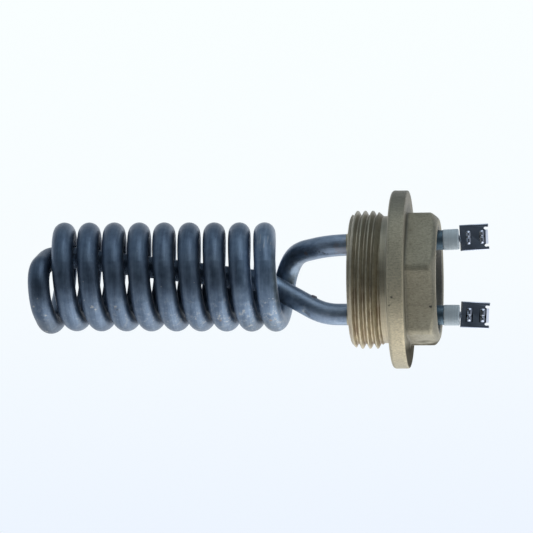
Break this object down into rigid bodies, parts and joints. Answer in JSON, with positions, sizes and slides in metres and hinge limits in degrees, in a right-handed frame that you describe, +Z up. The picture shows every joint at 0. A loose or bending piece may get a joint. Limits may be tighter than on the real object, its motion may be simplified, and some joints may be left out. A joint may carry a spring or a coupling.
{
  "type": "immersion water heater element",
  "caption": "Screw-in immersion heater: a coiled metal tube brazed into a hollow hexagon-headed brass plug, with ceramic bushes and folded flat terminals.",
  "frame": {"origin": "centre of the flange's sealing face, on the plug's axis", "axes": "+X out through the hexagon to the terminals, -X into the tank along the coil; +Z up through the upper leg; -Y towards the picture's viewer"},
  "size_m": [0.1396, 0.054, 0.054],
  "materials": {
    "plug_brass": "dull cast brass with a turned thread",
    "sheath_steel": "dark blue-grey oxide, satin",
    "pin_steel": "bright drawn steel, dulled",
    "magnesia": "packed powder",
    "seal_resin": "cured resin",
    "bush_ceramic": "unglazed grey-green ceramic",
    "terminal_nickel": "polished nickel plate",
    "braze": "brazing alloy, dull"
  },
  "bodies": {
    "root": {"screw_plug": "plug_brass", "heating_tube": "sheath_steel", "cold_pin_upper": "pin_steel", "magnesia_filling_upper": "magnesia", "end_seal_upper": "seal_resin", "ceramic_bush_upper": "bush_ceramic", "terminal_upper": "terminal_nickel", "braze_ring_wet_upper": "braze", "braze_ring_dry_upper": "braze", "cold_pin_lower": "pin_steel", "magnesia_filling_lower": "magnesia", "end_seal_lower": "seal_resin", "ceramic_bush_lower": "bush_ceramic", "terminal_lower": "terminal_nickel", "braze_ring_wet_lower": "braze", "braze_ring_dry_lower": "braze"}
  },
  "joints": []
}
